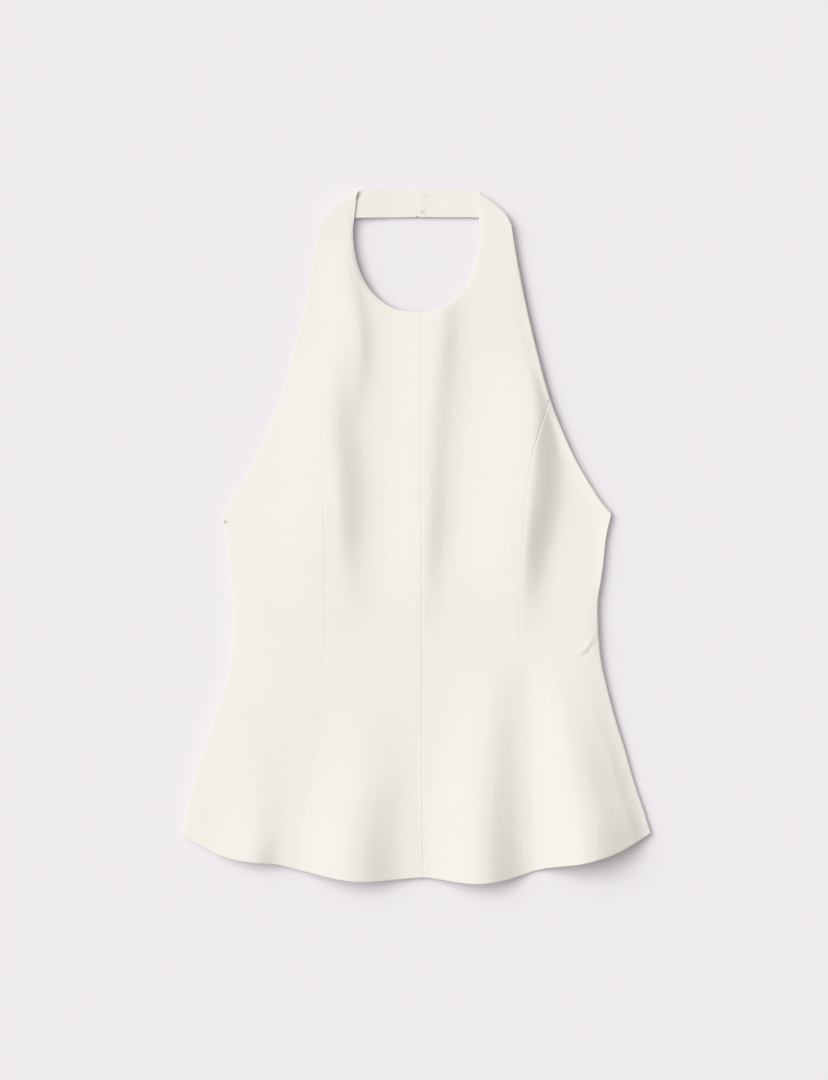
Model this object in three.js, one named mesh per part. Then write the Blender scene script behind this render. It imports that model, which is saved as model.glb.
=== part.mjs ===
// A halter neck top of ivory crepe, laid flat on its back with the front uppermost.
// Millimetres. +X points to the wearer's left, +Y from the hem to the neck, +Z up.
// The origin is the middle of the outline, on the surface that the top lies on.
import * as THREE from "three";

// Driving dimensions
const CLOTH = 1.6; // wall of the self-faced crepe
const SEAM_GAP = 0.3; // clear way between neighbouring pieces
const SEAM_INSET = 0.2; // each panel's share of that way along a slanting seam
const SIDE_SEAM_HEIGHT = 4.2; // height of the side seams over the surface
const BACK_TURN = 5; // width over which the back turns up to its side seams
const BACK_DIP = 10; // how far the back's top edge dips between the underarms
const NECK_TURN = 6; // width over which the cloth rounds off to the neckline
const NECK_DROP = 1.4; // how far it falls there
const RIM_TURN = 2; // width over which the cloth rounds off to its open and side edges
const STRAP_FACE = 9.2; // height of the strap's face where it turns over at the neck
const TURN_RADIUS = 3.2; // outer radius of that turn
const TURN_LENGTH = Math.PI * (TURN_RADIUS - CLOTH / 2); // cloth that the turn takes up
const TURN_CALM = 34; // length over which the strap flattens out before the turn
const BAND_SEAM = 3; // how far behind the turn the band is sewn on
const HEM_LEVEL = -350; // about where the front's seams reach the hem
const UNDERARM_ENDS = [30, 60]; // heights between which the rim goes from upright to level
const WIRE = 0.6; // wire of the nape hook and eye
const HOOK_SPOT = { x: 1.6, y: 341.5 }; // where the hook bends, on the inner face of the band
const EYE_REACH = 0.5; // how far past that bend the eye's frame begins
const SLIDER = { x: -203.7, y: 15.9, z: 6.9, length: 4, width: 3.4, thickness: 1, bevel: 0.25 };

// A table as rows with named columns
function table(columns, rows) {
  const names = columns.split(" ");
  return rows.map((row) => Object.fromEntries(names.map((name, i) => [name, row[i]])));
}

// Side seams from the hem up to the underarms
const sideSeams = table("y right left", [
  [-330, -250, 247.6],
  [-308, -246.4, 240.4],
  [-287, -243, 233.7],
  [-256, -236, 223.1],
  [-224, -226.2, 214.2],
  [-193, -216.5, 204.7],
  [-161, -205, 196.2],
  [-130, -197.3, 189.5],
  [-98, -194.8, 186.5],
  [-67, -195.2, 186.2],
  [-46, -197, 189.6],
  [-25, -199.6, 192.4],
  [-4, -202.4, 194.8],
  [8, -204.6, 197.2],
  [17, -208, 199.4],
  [28, -210, 201.6],
  [60, -212, 206],
]);

// Armhole edges from below the underarms up to the turn at the neck
const armholes = table("y right left", [
  [-10, -223, 232.6],
  [18.4, -208.6, 206.1],
  [33, -200.8, 193.1],
  [48.8, -191.6, 182],
  [69.8, -178.4, 169.1],
  [90.8, -168, 158.3],
  [111.8, -159.2, 149],
  [132.8, -150.4, 140.7],
  [153.8, -142.8, 133.6],
  [185.3, -134.6, 124.7],
  [216.8, -125.8, 116.9],
  [248.3, -118.6, 109.8],
  [269.3, -114.6, 105.7],
  [290.3, -110.4, 101.9],
  [311.3, -106, 98.3],
  [340, -99, 94],
]);

// Princess seams from the hem up to where they meet the armhole edges
const princessSeams = table("y right left", [
  [-350, -130.4, 135.6],
  [-313, -123, 130.2],
  [-200, -104.5, 112.9],
  [-140, -99.7, 107.8],
  [-100, -98.6, 106],
  [-50, -98.2, 106.6],
  [2, -98.8, 109.2],
  [49, -103, 113],
  [86, -117.5, 118.9],
  [114, -132, 127],
  [144, -146.4, 136.8],
]);

// Centre front seam
const centreSeam = table("y x", [
  [-360, 4.2],
  [-60, 3],
  [240, 2.1],
]);

// Hem of the front, scalloped by its flutes
const hemLine = table("x y", [
  [-257, -306],
  [-247.4, -313.2],
  [-230, -322.8],
  [-209, -333.2],
  [-188, -338.7],
  [-167, -341.5],
  [-146, -343.9],
  [-125, -348.9],
  [-104, -354],
  [-83, -358.2],
  [-62, -360.8],
  [-41, -360.6],
  [-20, -358.9],
  [5, -357.1],
  [22, -358.8],
  [43, -361.6],
  [64, -362.8],
  [85, -360.7],
  [106, -355.6],
  [127, -348.7],
  [148, -344.7],
  [169, -341.7],
  [190, -336.8],
  [211, -329.2],
  [232, -317.7],
  [242, -311.4],
  [252, -304.4],
]);

// Corners: where each side seam ends at the hem, the underarm and the top of the back
const corners = {
  right: { hem: -313.4, underarm: 18.4, backTop: 9, princess: 144 },
  left: { hem: -311.8, underarm: 25.4, backTop: 19, princess: 144 },
};

// Neckline: a rounded U, its centre, half width and depth, and how square its corners are
const neckline = { x: -3.15, y: 324, halfWidth: 66.4, depth: 89.3, power: 2.2 };

// Where the straps turn over: the bend line, from the armhole edge to the neck edge, and how
// far the turn bulges beyond it, with a power for how fast that begins from each end
const turns = {
  right: { outer: [-102.3, 328], inner: [-66, 356.4], bulge: 20.8, powers: [1, 1] },
  left: { outer: [94.9, 329.1], inner: [63.6, 356.4], bulge: 12, powers: [1, 1.5] },
};

// Ends of the neck band at the nape, with the radius of each end's corners
const nape = {
  right: { x: -1.8, low: 335.6, high: 363.3, lowCorner: 2, highCorner: 6 },
  left: { x: -0.9, low: 335.6, high: 363.3, lowCorner: 2, highCorner: 3 },
};

// The lie of the front between its folds and, for each side, the height of its rim, the height
// just inside that rim and how wide the cloth takes to come up from there to its lie
const sectionColumns = "y lie rightRim rightInside rightRamp leftRim leftInside leftRamp";
const sections = table(sectionColumns, [
  [-370, 10.6, 4.5, 6.4, 70, 4.5, 6.4, 62],
  [-300, 10.6, 4.5, 6.4, 70, 4.5, 6.4, 62],
  [-265, 10.8, 4.5, 6.4, 70, 4.5, 6.6, 64],
  [-230, 11, 4.5, 6.4, 70, 4.5, 6.8, 54],
  [-165, 11.7, 4.5, 6.4, 70, 4.5, 7.2, 30],
  [-100, 12.8, 4.4, 6.2, 80, 4.4, 8.5, 14],
  [-30, 14.4, 4.4, 6.4, 90, 4.4, 8.2, 10],
  [10, 15, 4.4, 6.6, 96, 4.4, 8, 10],
  [34, 15, 6, 7, 96, 5.5, 8, 10],
  [60, 15, 7.6, 8.2, 90, 7, 8, 11],
  [140, 13.8, 8.8, 9.2, 60, 7.4, 8.4, 14],
  [235, 12, 8.6, 9, 40, 7.4, 8.4, 16],
  [300, 10.4, 8.3, 8.7, 30, 7.6, 8.4, 16],
  [365, 9.2, 8.2, 8.6, 30, 7.6, 8.4, 16],
]);

// Largest folds of the front. Each is a ridge that runs up the cloth: where its crest is at a
// height, how far it rises from the wearer's right and sinks below that on the left, how wide
// it is on each side, and whether its fall is even (0) or comes early (1)
const foldColumns = "y x rise sink right left early";
const folds = {
  "right bust": table(foldColumns, [
    [-100, -78, 0, 0, 70, 42, 1],
    [-60, -79, 3, 0.8, 78, 44, 1],
    [-12, -86, 6.5, 2.8, 86, 48, 1],
    [47, -88, 8, 3.4, 90, 51, 1],
    [105, -94, 8, 3.6, 86, 58, 1],
    [150, -96, 6, 3, 66, 58, 1],
    [185, -96, 3, 1.6, 50, 54, 1],
    [215, -97, 0.8, 0.4, 44, 50, 1],
    [240, -98, 0, 0, 40, 46, 1],
  ]),
  "right neck": table(foldColumns, [
    [120, -68, 0, 0, 34, 30, 1],
    [150, -66, 1.4, 0.4, 38, 28, 1],
    [185, -64, 3.4, 1, 42, 29, 1],
    [227, -67, 4.6, 1.2, 42, 29, 1],
    [259, -73, 4.2, 1, 38, 28, 1],
    [285, -77, 2.8, 0.6, 30, 28, 1],
    [312, -80, 0, 0, 26, 24, 1],
  ]),
  "centre": table(foldColumns, [
    [-110, 2, 0, 0, 40, 34, 1],
    [-70, 3, 2.8, 0.8, 42, 34, 1],
    [-10, 5, 5.2, 1.6, 44, 38, 1],
    [47, 8, 5.4, 1.8, 44, 40, 1],
    [105, 10, 5.4, 1.8, 44, 42, 1],
    [165, 15, 5, 1.8, 48, 42, 1],
    [225, 22, 4.6, 1.8, 52, 36, 1],
    [260, 24, 2.6, 1, 52, 34, 1],
  ]),
  "left bust": table(foldColumns, [
    [-100, 106, 0, 0, 66, 40, 1],
    [-68, 106, 4, 1.6, 66, 44, 1],
    [-12, 109, 9.5, 4, 70, 46, 1],
    [47, 115, 10.5, 4.8, 74, 48, 1],
    [105, 119, 10.5, 4.6, 72, 46, 1],
    [150, 117, 7, 2.6, 66, 42, 1],
    [190, 107, 3, 1, 56, 38, 1],
    [250, 99, 1, 0.5, 50, 30, 1],
    [290, 96, 0, 0, 50, 30, 1],
  ]),
  "right side flute": table(foldColumns, [
    [-400, -180, 11, 1, 52, 38, 0],
    [-335, -178, 9, 1, 52, 38, 0],
    [-306, -174, 4.4, 0.8, 52, 36, 0],
    [-277, -170, 2.4, 0.4, 50, 36, 0],
    [-240, -168, 1.2, 0.2, 48, 36, 0],
    [-200, -160, 0, 0, 44, 36, 0],
  ]),
  "right front flute": table(foldColumns, [
    [-400, -76, 16.6, 1.6, 56, 68, 0],
    [-335, -75, 16, 1.6, 56, 68, 0],
    [-300, -72, 13, 1.4, 54, 66, 0],
    [-270, -66, 9.4, 1.2, 54, 62, 0],
    [-240, -60, 5, 0.6, 52, 62, 0],
    [-190, -58, 1.8, 0.3, 48, 54, 0],
    [-140, -56, 0, 0, 44, 50, 0],
  ]),
  "left front flute": table(foldColumns, [
    [-400, 62, 17, 3, 56, 62, 0],
    [-335, 62, 16.6, 3, 56, 61, 0],
    [-280, 63, 14, 2.8, 56, 58, 0],
    [-220, 68, 7.2, 1.8, 52, 46, 0],
    [-160, 74, 2.8, 0.8, 48, 42, 0],
    [-110, 78, 0, 0, 44, 40, 0],
  ]),
  "left side flute": table(foldColumns, [
    [-400, 174, 25, 0, 54, 500, 0],
    [-310, 170, 24, 0, 50, 500, 0],
    [-260, 160, 18.5, 0, 44, 400, 0],
    [-210, 152, 11, 0, 38, 300, 0],
    [-160, 148, 4.5, 0, 36, 200, 0],
    [-110, 146, 0, 0, 36, 100, 0],
  ]),
};

// Grid steps: how many rows each stretch of a panel has, and where its columns stand
const ROWS_TO_PRINCESS_TOP = 24;
const ROWS_TO_NECKLINE = 4;
const ROWS_TO_TURN = 10;
const ROW_FALL = 40; // how far the row at the neckline's lowest point falls to the armhole
const TURN_STEPS = 7;
const BAND_ROWS = 8;
const centreColumns = [0, 0.02, 0.06, 0.13, 0.23, 0.34, 0.46, 0.58, 0.7, 0.81, 0.91, 0.97, 1];
const sideColumns = [0, 0.01, 0.04, 0.09, 0.16, 0.27, 0.4, 0.55, 0.7, 0.85, 0.97, 1];
const backColumns = [
  0, 0.0025, 0.007, 0.0135, 0.06, 0.14, 0.26, 0.38, 0.5,
  0.62, 0.74, 0.86, 0.94, 0.9865, 0.993, 0.9975, 1,
];
const bandColumns = [0, 0.03, 0.08, 0.2, 0.4, 0.6, 0.8, 0.92, 0.97, 1];

const opposite = (shares) => shares.map((share) => 1 - share).reverse();

const steps = (count) => Array.from({ length: count + 1 }, (_, step) => step / count);

const mix = THREE.MathUtils.lerp;

// A smooth line through the rows of a table: the value of column `to` for one of column `from`
function lineThrough(rows, from, to) {
  const slopes = rows.map((_, i) => {
    const before = rows[Math.max(i - 1, 0)];
    const after = rows[Math.min(i + 1, rows.length - 1)];
    return (after[to] - before[to]) / (after[from] - before[from]);
  });
  return (value) => {
    const last = rows.length - 2;
    const past = rows.filter((row) => row[from] <= value).length - 1;
    const i = THREE.MathUtils.clamp(past, 0, last);
    const length = rows[i + 1][from] - rows[i][from];
    const t = THREE.MathUtils.clamp((value - rows[i][from]) / length, 0, 1);
    const ends = mix(rows[i][to], rows[i + 1][to], t * t * (3 - 2 * t));
    const bend = (1 - t) * slopes[i] - t * slopes[i + 1];
    return ends + t * (1 - t) * length * bend;
  };
}

const lines = {};
for (const side of ["right", "left"]) {
  lines[side] = {
    sideSeam: lineThrough(sideSeams, "y", side),
    armhole: lineThrough(armholes, "y", side),
    princess: lineThrough(princessSeams, "y", side),
    rim: lineThrough(sections, "y", `${side}Rim`),
    inside: lineThrough(sections, "y", `${side}Inside`),
    ramp: lineThrough(sections, "y", `${side}Ramp`),
  };
}
const lieLine = lineThrough(sections, "y", "lie");
const centreLine = lineThrough(centreSeam, "y", "x");
const hemHeight = lineThrough(hemLine, "x", "y");
const foldLines = Object.values(folds).map((fold) => ({
  x: lineThrough(fold, "y", "x"),
  rise: lineThrough(fold, "y", "rise"),
  sink: lineThrough(fold, "y", "sink"),
  right: lineThrough(fold, "y", "right"),
  left: lineThrough(fold, "y", "left"),
  early: lineThrough(fold, "y", "early"),
}));

// Distance from a point to an edge line that runs up the garment, measured square to it
function distanceToEdge(line, x, y) {
  const slope = (line(y + 1) - line(y - 1)) / 2;
  return Math.abs(line(y) - x) / Math.hypot(1, slope);
}

function distanceToNeckline(x, y) {
  const across = Math.abs(x - neckline.x);
  const down = Math.max(0, neckline.y - y);
  const size = Math.hypot(across, down);
  const reach = Math.pow(across / neckline.halfWidth, neckline.power)
    + Math.pow(down / neckline.depth, neckline.power);
  return size * (1 - Math.pow(reach, -1 / neckline.power));
}

// Height of a cloth's turn down to its edge: 0 at the edge, 1 from `width` inwards
function edgeTurn(distance, width, steep) {
  const inward = THREE.MathUtils.clamp(distance / width, 0, 1);
  const soft = 1 - (1 - inward) * (1 - inward);
  return mix(soft, Math.sqrt(soft), steep);
}

// Height of a long slope up from an edge: 0 at the edge, 1 from `width` inwards
function longSlope(distance, width) {
  return 1 - Math.pow(1 - THREE.MathUtils.clamp(distance / width, 0, 1), 1.5);
}

// A ridge that rises evenly from the wearer's right and drops off to the left
function foldHeight(fold, x, y) {
  const offset = x - fold.x(y);
  if (offset < 0) {
    const climb = Math.min(-offset / fold.right(y), 1);
    return fold.rise(y) * 0.5 * (1 + Math.cos(Math.PI * climb));
  }
  const falling = Math.min(offset / fold.left(y), 1);
  const earlyDrop = 6 * falling ** 2 - 8 * falling ** 3 + 3 * falling ** 4;
  const evenDrop = 0.5 * (1 - Math.cos(Math.PI * falling));
  const drop = mix(evenDrop, earlyDrop, fold.early(y));
  return fold.rise(y) - (fold.rise(y) + fold.sink(y)) * drop;
}

// The strap's bend line on one side, with the directions along it and out over it
function turnFrame(side) {
  const outer = new THREE.Vector2(...turns[side].outer);
  const inner = new THREE.Vector2(...turns[side].inner);
  const along = inner.clone().sub(outer).normalize();
  const out = new THREE.Vector2(-along.y, along.x).multiplyScalar(side === "right" ? 1 : -1);
  const toNape = new THREE.Vector2(side === "right" ? 1 : -1, 0);
  const strap = along.clone().multiplyScalar(2 * along.dot(toNape)).sub(toNape);
  return { outer, inner, along, out, strap };
}

const frames = { right: turnFrame("right"), left: turnFrame("left") };

const distancePastTurn = (frame, point) => point.clone().sub(frame.outer).dot(frame.out);

// Height of the front's outer face over the surface
function frontHeight(x, y, side) {
  const line = lines[side];
  const toSideSeam = distanceToEdge(line.sideSeam, x, y);
  const toArmhole = y < armholes[0].y ? toSideSeam : distanceToEdge(line.armhole, x, y);
  const toRim = Math.min(toSideSeam, toArmhole);
  const rise = foldLines.reduce((sum, fold) => sum + foldHeight(fold, x, y), 0);
  const lie = mix(line.inside(y), lieLine(y) + rise, longSlope(toRim, line.ramp(y)));
  const steep = 1 - THREE.MathUtils.smoothstep(y, ...UNDERARM_ENDS);
  const rimmed = mix(line.rim(y), lie, edgeTurn(toRim, RIM_TURN, steep));
  const neckFall = NECK_DROP * (1 - edgeTurn(distanceToNeckline(x, y), NECK_TURN, 0));
  const before = -distancePastTurn(frames[side], new THREE.Vector2(x, y));
  const loose = THREE.MathUtils.smoothstep(before, 0, TURN_CALM);
  return mix(STRAP_FACE, rimmed - neckFall, loose);
}

// How far the turn bulges out over its bend line, at a share of the way along that line and
// a distance past it; the bulge fades out before the turn and on its underside
function turnBulge(side, share, past) {
  const { bulge, powers } = turns[side];
  const before = THREE.MathUtils.smoothstep(past, -TURN_CALM, 0);
  const behind = THREE.MathUtils.smoothstep(-past, -TURN_LENGTH, -TURN_LENGTH / 2);
  return bulge * Math.pow(share, powers[0]) * Math.pow(1 - share, powers[1]) * before * behind;
}

// Puts a point of the unfolded front on the garment: flat, round the turn, or folded under
function settle(point, side) {
  const frame = frames[side];
  const past = distancePastTurn(frame, point);
  if (past <= 0) {
    return new THREE.Vector3(point.x, point.y, frontHeight(point.x, point.y, side));
  }
  const foot = point.clone().addScaledVector(frame.out, -past);
  const angle = Math.PI * Math.min(past / TURN_LENGTH, 1);
  const under = Math.max(past - TURN_LENGTH, 0);
  foot.addScaledVector(frame.out, TURN_RADIUS * Math.sin(angle) - under);
  return new THREE.Vector3(foot.x, foot.y, STRAP_FACE - TURN_RADIUS * (1 - Math.cos(angle)));
}

// Fills four edges with a grid of points, its columns at the given shares of the width
function fillEdges(left, right, bottom, top, shares) {
  return left.map((start, i) => {
    const up = i / (left.length - 1);
    return shares.map((share, j) => {
      const low = bottom[j].clone().sub(left[0].clone().lerp(right[0], share));
      const high = top[j].clone().sub(left.at(-1).clone().lerp(right.at(-1), share));
      const point = start.clone().lerp(right[i], share);
      return point.addScaledVector(low, 1 - up).addScaledVector(high, up);
    });
  });
}

// Points down a seam or edge between two heights, moved sideways by `shift`
function edgePoints(line, from, to, count, shift = 0) {
  return steps(count).map((t) => {
    const y = mix(from, to, t);
    return new THREE.Vector2(line(y) + shift, y);
  });
}

// Points along the hem between two heights of the side edges
function hemPoints(start, end, shares) {
  const row = shares.map((share) => {
    const x = mix(start.x, end.x, share);
    return new THREE.Vector2(x, hemHeight(x));
  });
  row[0].copy(start);
  row[row.length - 1].copy(end);
  return row;
}

const straight = (start, end, shares) => shares.map((share) => start.clone().lerp(end, share));

// One side of the neckline, from the centre seam round and up to the turn
function necklinePoints(side, count) {
  const sign = side === "right" ? -1 : 1;
  const bottom = neckline.y - neckline.depth;
  const seamX = centreLine(bottom) + sign * SEAM_INSET;
  const firstAngle = Math.asin((neckline.x - seamX) / neckline.halfWidth);
  const roundShare = 0.78;
  const end = frames[side].inner;
  return steps(count).map((t) => {
    if (t <= roundShare) {
      const angle = mix(-sign * firstAngle, Math.PI / 2, t / roundShare);
      const across = Math.pow(Math.abs(Math.sin(angle)), 2 / neckline.power) * Math.sign(angle);
      const down = Math.pow(Math.abs(Math.cos(angle)), 2 / neckline.power);
      return new THREE.Vector2(
        neckline.x + sign * neckline.halfWidth * across,
        neckline.y - neckline.depth * down,
      );
    }
    const start = new THREE.Vector2(neckline.x + sign * neckline.halfWidth, neckline.y);
    return start.lerp(end, (t - roundShare) / (1 - roundShare));
  });
}

// Wraps a grid of outer points into a closed wall of cloth. The side seams are level: the
// two walls that meet there face each other up and down
function clothWall(outer, seamColumns = []) {
  const height = outer.length;
  const width = outer[0].length;
  const across = new THREE.Vector3();
  const up = new THREE.Vector3();
  const inner = outer.map((row, i) => row.map((point, j) => {
    const before = outer[Math.max(i - 1, 0)][j];
    const after = outer[Math.min(i + 1, height - 1)][j];
    across.subVectors(row[Math.min(j + 1, width - 1)], row[Math.max(j - 1, 0)]);
    up.subVectors(after, before);
    const outward = across.cross(up);
    if (seamColumns.includes(j)) outward.setZ(0);
    return point.clone().addScaledVector(outward.normalize(), -CLOTH);
  }));
  const positions = [...outer.flat(), ...inner.flat()].flatMap((point) => point.toArray());
  const at = (i, j) => i * width + j;
  const under = height * width;
  const faces = [];
  for (let i = 0; i < height - 1; i += 1) {
    for (let j = 0; j < width - 1; j += 1) {
      const [a, b, c, d] = [at(i, j), at(i, j + 1), at(i + 1, j + 1), at(i + 1, j)];
      faces.push(a, b, c, a, c, d);
      faces.push(under + c, under + b, under + a, under + d, under + c, under + a);
    }
  }
  const rim = [];
  for (let j = 0; j < width - 1; j += 1) {
    rim.push(at(0, j));
  }
  for (let i = 0; i < height - 1; i += 1) {
    rim.push(at(i, width - 1));
  }
  for (let j = width - 1; j > 0; j -= 1) {
    rim.push(at(height - 1, j));
  }
  for (let i = height - 1; i > 0; i -= 1) {
    rim.push(at(i, 0));
  }
  rim.forEach((a, k) => {
    const b = rim[(k + 1) % rim.length];
    faces.push(b, a, under + a, b, under + a, under + b);
  });
  const geometry = new THREE.BufferGeometry();
  geometry.setAttribute("position", new THREE.Float32BufferAttribute(positions, 3));
  geometry.setIndex(faces);
  return geometry;
}

// Centre front of one side: hem, princess seam, armhole edge, neckline and the turn
function centreFront(side) {
  const sign = side === "right" ? -1 : 1;
  const { princess, armhole } = lines[side];
  const frame = frames[side];
  const bottom = neckline.y - neckline.depth;
  const seamFoot = corners[side].princess;
  const hemAtPrincess = hemHeight(princess(HEM_LEVEL));
  const hemAtCentre = hemHeight(centreLine(HEM_LEVEL));
  const outerEdge = [
    ...edgePoints(princess, hemAtPrincess, seamFoot, ROWS_TO_PRINCESS_TOP, -sign * SEAM_INSET),
    ...edgePoints(armhole, seamFoot, bottom - ROW_FALL, ROWS_TO_NECKLINE).slice(1),
    ...edgePoints(armhole, bottom - ROW_FALL, frame.outer.y, ROWS_TO_TURN).slice(1),
  ];
  outerEdge[outerEdge.length - 1].copy(frame.outer);
  const innerEdge = [
    ...edgePoints(centreLine, hemAtCentre, seamFoot, ROWS_TO_PRINCESS_TOP, sign * SEAM_INSET),
    ...edgePoints(centreLine, seamFoot, bottom, ROWS_TO_NECKLINE, sign * SEAM_INSET).slice(1),
    ...necklinePoints(side, ROWS_TO_TURN).slice(1),
  ];
  const [left, right] = side === "right" ? [outerEdge, innerEdge] : [innerEdge, outerEdge];
  const shares = side === "right" ? centreColumns : opposite(centreColumns);
  const hem = hemPoints(left[0], right[0], shares);
  const top = straight(left.at(-1), right.at(-1), shares);
  const flat = fillEdges(left, right, hem, top, shares);
  const strapStep = 1 / frame.strap.dot(frame.out);
  const past = [...steps(TURN_STEPS).slice(1).map((t) => t * TURN_LENGTH), TURN_LENGTH + BAND_SEAM];
  for (const distance of past) {
    flat.push(top.map((point) => point.clone().addScaledVector(frame.strap, distance * strapStep)));
  }
  const settled = flat.map((row) => row.map((point, j) => {
    const place = settle(point, side);
    const share = side === "right" ? shares[j] : 1 - shares[j];
    const bulge = turnBulge(side, share, distancePastTurn(frame, point));
    return place.set(place.x + frame.out.x * bulge, place.y + frame.out.y * bulge, place.z);
  }));
  return clothWall(settled);
}

// Side front: hem, side seam, armhole edge and princess seam
function sideFront(side) {
  const sign = side === "right" ? -1 : 1;
  const { sideSeam, princess, armhole } = lines[side];
  const { hem, underarm, princess: seamFoot } = corners[side];
  const seamEdge = edgePoints(sideSeam, hem, underarm, ROWS_TO_PRINCESS_TOP);
  seamEdge[seamEdge.length - 1].set(armhole(underarm), underarm);
  const hemAtPrincess = hemHeight(princess(HEM_LEVEL));
  const princessEdge = edgePoints(
    princess, hemAtPrincess, seamFoot, ROWS_TO_PRINCESS_TOP, sign * SEAM_INSET,
  );
  const [left, right] = side === "right" ? [seamEdge, princessEdge] : [princessEdge, seamEdge];
  const shares = side === "right" ? sideColumns : opposite(sideColumns);
  const [leftGap, rightGap] = [left, right].map((edge) => edge.at(-1).x - armhole(edge.at(-1).y));
  const top = straight(left.at(-1), right.at(-1), shares).map((point, j) => (
    new THREE.Vector2(armhole(point.y) + mix(leftGap, rightGap, shares[j]), point.y)
  ));
  const flat = fillEdges(left, right, hemPoints(left[0], right[0], shares), top, shares);
  const settled = flat.map((row) => row.map(
    (point) => new THREE.Vector3(point.x, point.y, frontHeight(point.x, point.y, side)),
  ));
  return clothWall(settled, [side === "right" ? 0 : shares.length - 1]);
}

// Back: flat on the surface, turned up to the side seams
function back() {
  const left = edgePoints(
    lines.left.sideSeam, corners.left.hem, corners.left.backTop, ROWS_TO_PRINCESS_TOP,
  );
  const right = edgePoints(
    lines.right.sideSeam, corners.right.hem, corners.right.backTop, ROWS_TO_PRINCESS_TOP,
  );
  const top = straight(left.at(-1), right.at(-1), backColumns);
  top.forEach((point, j) => {
    point.y -= BACK_DIP * 4 * backColumns[j] * (1 - backColumns[j]);
  });
  const hem = hemPoints(left[0], right[0], backColumns);
  const rim = SIDE_SEAM_HEIGHT - SEAM_GAP / 2;
  const settled = fillEdges(left, right, hem, top, backColumns).map((row) => row.map(({ x, y }) => {
    const side = x < 0 ? "right" : "left";
    const turn = edgeTurn(distanceToEdge(lines[side].sideSeam, x, y), BACK_TURN, 1);
    return new THREE.Vector3(x, y, rim * (1 - turn));
  }));
  return clothWall(settled, [0, backColumns.length - 1]);
}

// Half of the neck band, folded under the strap, with rounded corners at the nape
function neckBand(side) {
  const frame = frames[side];
  const end = nape[side];
  const sign = side === "right" ? -1 : 1;
  const distance = TURN_LENGTH + BAND_SEAM + SEAM_GAP;
  const drift = frame.strap.clone().multiplyScalar(distance / frame.strap.dot(frame.out));
  const [low, high] = [frame.outer, frame.inner].map((point) => {
    const place = settle(point.clone().add(drift), side);
    return new THREE.Vector2(place.x, place.y);
  });
  const upward = side === "right" ? bandColumns : bandColumns.toReversed();
  const start = upward.map((share) => low.clone().lerp(high, share));
  const width = end.high - end.low;
  const finish = upward.map((share) => {
    const lowGap = Math.max(0, end.lowCorner - share * width);
    const highGap = Math.max(0, end.highCorner - (1 - share) * width);
    const lowInset = end.lowCorner - Math.sqrt(end.lowCorner ** 2 - lowGap ** 2);
    const highInset = end.highCorner - Math.sqrt(end.highCorner ** 2 - highGap ** 2);
    return new THREE.Vector2(end.x + sign * (lowInset + highInset), mix(end.low, end.high, share));
  });
  const under = STRAP_FACE - 2 * TURN_RADIUS;
  const settled = steps(BAND_ROWS).map((t) => start.map((point, j) => {
    const place = point.clone().lerp(finish[j], t);
    return new THREE.Vector3(place.x, place.y, under);
  }));
  return clothWall(settled);
}

// A bent wire through named points of half of its way, mirrored across its middle
function wire(halfWay, tip) {
  const there = halfWay.map(([x, y, z]) => new THREE.Vector3(x, y, z));
  const back = halfWay.toReversed().map(([x, y, z]) => new THREE.Vector3(x, -y, z));
  const path = new THREE.CatmullRomCurve3([...there, new THREE.Vector3(...tip), ...back]);
  const circle = new THREE.Shape().absarc(0, 0, WIRE / 2, 0, 2 * Math.PI);
  return new THREE.ExtrudeGeometry(circle, { steps: 40, curveSegments: 3, extrudePath: path });
}

const sewingRing = [[-3.3, 1.9, 0], [-4.2, 2.7, 0], [-5.1, 2, 0], [-4.5, 1.1, 0]];

// The hook runs along +X, doubles up over itself and comes back
const hookWire = () => wire(
  [...sewingRing, [-3, 0.45, 0], [-0.6, 0.45, 0], [0.25, 0.45, 0.85], [-0.6, 0.45, 1.7]],
  [-2.3, 0, 1.6],
);

// The eye is a flat loop whose end lifts into the hook
const eyeWire = () => wire(
  [...sewingRing, [-3, 1.3, 0.2], [-1.2, 1.3, 0.8], [0, 1.25, 0.85], [0.9, 0.75, 0.85]],
  [1.2, 0, 0.85],
);

// Pull of the concealed side zip: a small round-ended tab that lies on the front
function zipSlider() {
  const { length, width, thickness, bevel } = SLIDER;
  const radius = width / 2 - bevel;
  const reach = (length - width) / 2;
  const outline = new THREE.Shape();
  outline.absarc(0, reach, radius, 0, Math.PI);
  outline.absarc(0, -reach, radius, Math.PI, 2 * Math.PI);
  const tab = new THREE.ExtrudeGeometry(outline, {
    depth: thickness - 2 * bevel,
    curveSegments: 6,
    bevelThickness: bevel,
    bevelSize: bevel,
    bevelSegments: 2,
  });
  return tab.translate(0, 0, bevel);
}

const crepe = () => new THREE.MeshStandardMaterial({ color: "#f3f1ec", roughness: 0.72 });
const metal = () => new THREE.MeshStandardMaterial({
  color: "#cfccc6", roughness: 0.35, metalness: 0.9,
});

const group = new THREE.Group();

function add(name, geometry, material, place = [0, 0, 0], turn = 0) {
  const mesh = new THREE.Mesh(geometry, material);
  mesh.name = name;
  mesh.position.set(...place);
  mesh.rotation.z = turn;
  group.add(mesh);
}

add("back", back(), crepe());
for (const side of ["right", "left"]) {
  add(`front_side_${side}`, sideFront(side), crepe());
  add(`front_centre_${side}`, centreFront(side), crepe());
  add(`neck_band_${side}`, neckBand(side), crepe());
}

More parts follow.
